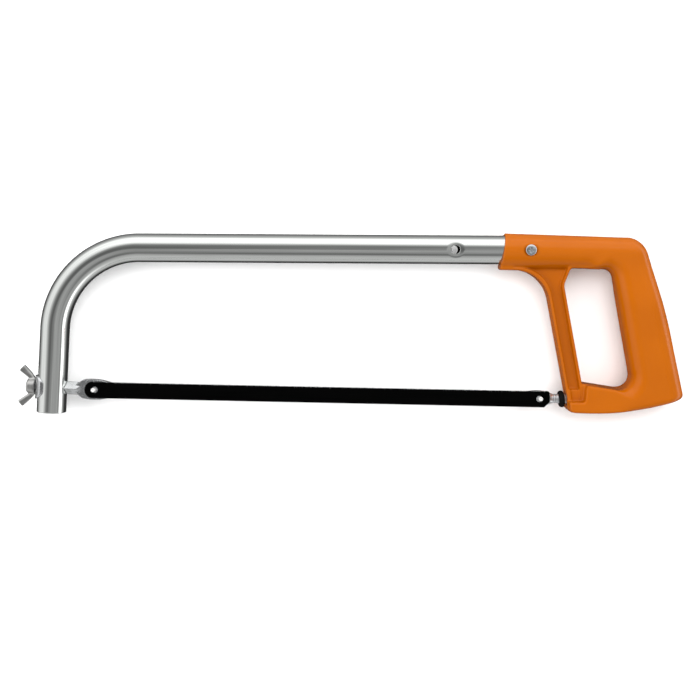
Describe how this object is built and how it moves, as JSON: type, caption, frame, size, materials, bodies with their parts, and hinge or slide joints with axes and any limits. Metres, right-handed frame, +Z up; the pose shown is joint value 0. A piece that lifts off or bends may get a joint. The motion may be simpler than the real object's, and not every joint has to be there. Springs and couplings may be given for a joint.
{
  "type": "hacksaw",
  "caption": "Hand hacksaw with a bent chrome tube frame, a cast D handle, a wing nut tensioner and a blade held between two pins.",
  "frame": {"origin": "middle of the footprint on the surface that the saw lies on, on its side", "axes": "+X along the blade from the wing nut to the handle, +Y from the blade to the back of the frame, +Z up out of the side of the saw"},
  "size_m": [0.449, 0.1272, 0.028],
  "materials": {
    "chrome": "bright plated",
    "orange_paint": "gloss",
    "zinc_plate": "bright zinc",
    "zinc_cast": "satin cast",
    "black_blade": "satin",
    "black_rubber": "matte",
    "spring_steel": "dark oiled"
  },
  "bodies": {
    "frame": {"frame_tube": "chrome", "handle": "orange_paint", "handle_screw": "zinc_plate", "handle_nut": "zinc_plate", "saddle_washer": "zinc_plate", "peg_ring": "black_rubber"},
    "nut": {"wing_nut": "zinc_cast"},
    "bolt": {"tension_bolt": "zinc_plate", "front_pin": "zinc_plate"},
    "peg": {"rear_peg": "zinc_plate", "rear_pin": "zinc_plate", "peg_clip": "spring_steel"},
    "blade": {"blade": "black_blade"}
  },
  "joints": [
    {"name": "wing_nut_turn", "type": "hinge", "parent": "frame", "child": "nut", "pos_m": [-0.21413, -0.04614, 0.014], "axis": [-0.9994, 0.0349, 0], "range_deg": [0, 900]},
    {"name": "tension_slide", "type": "slide", "parent": "frame", "child": "bolt", "axis": [0.9994, -0.0349, 0], "range_m": [0, 0.0025]},
    {"name": "peg_slide", "type": "slide", "parent": "frame", "child": "peg", "axis": [1, 0, 0], "range_m": [0, 0.0025]},
    {"name": "blade_lift", "type": "slide", "parent": "peg", "child": "blade", "axis": [0, 0, 1], "range_m": [0, 0.04]}
  ],
  "couplings": [
    {"joint": "wing_nut_turn", "follows": "tension_slide", "rad_per_m": 6283.2},
    {"joint": "peg_slide", "follows": "tension_slide", "ratio": 1}
  ]
}
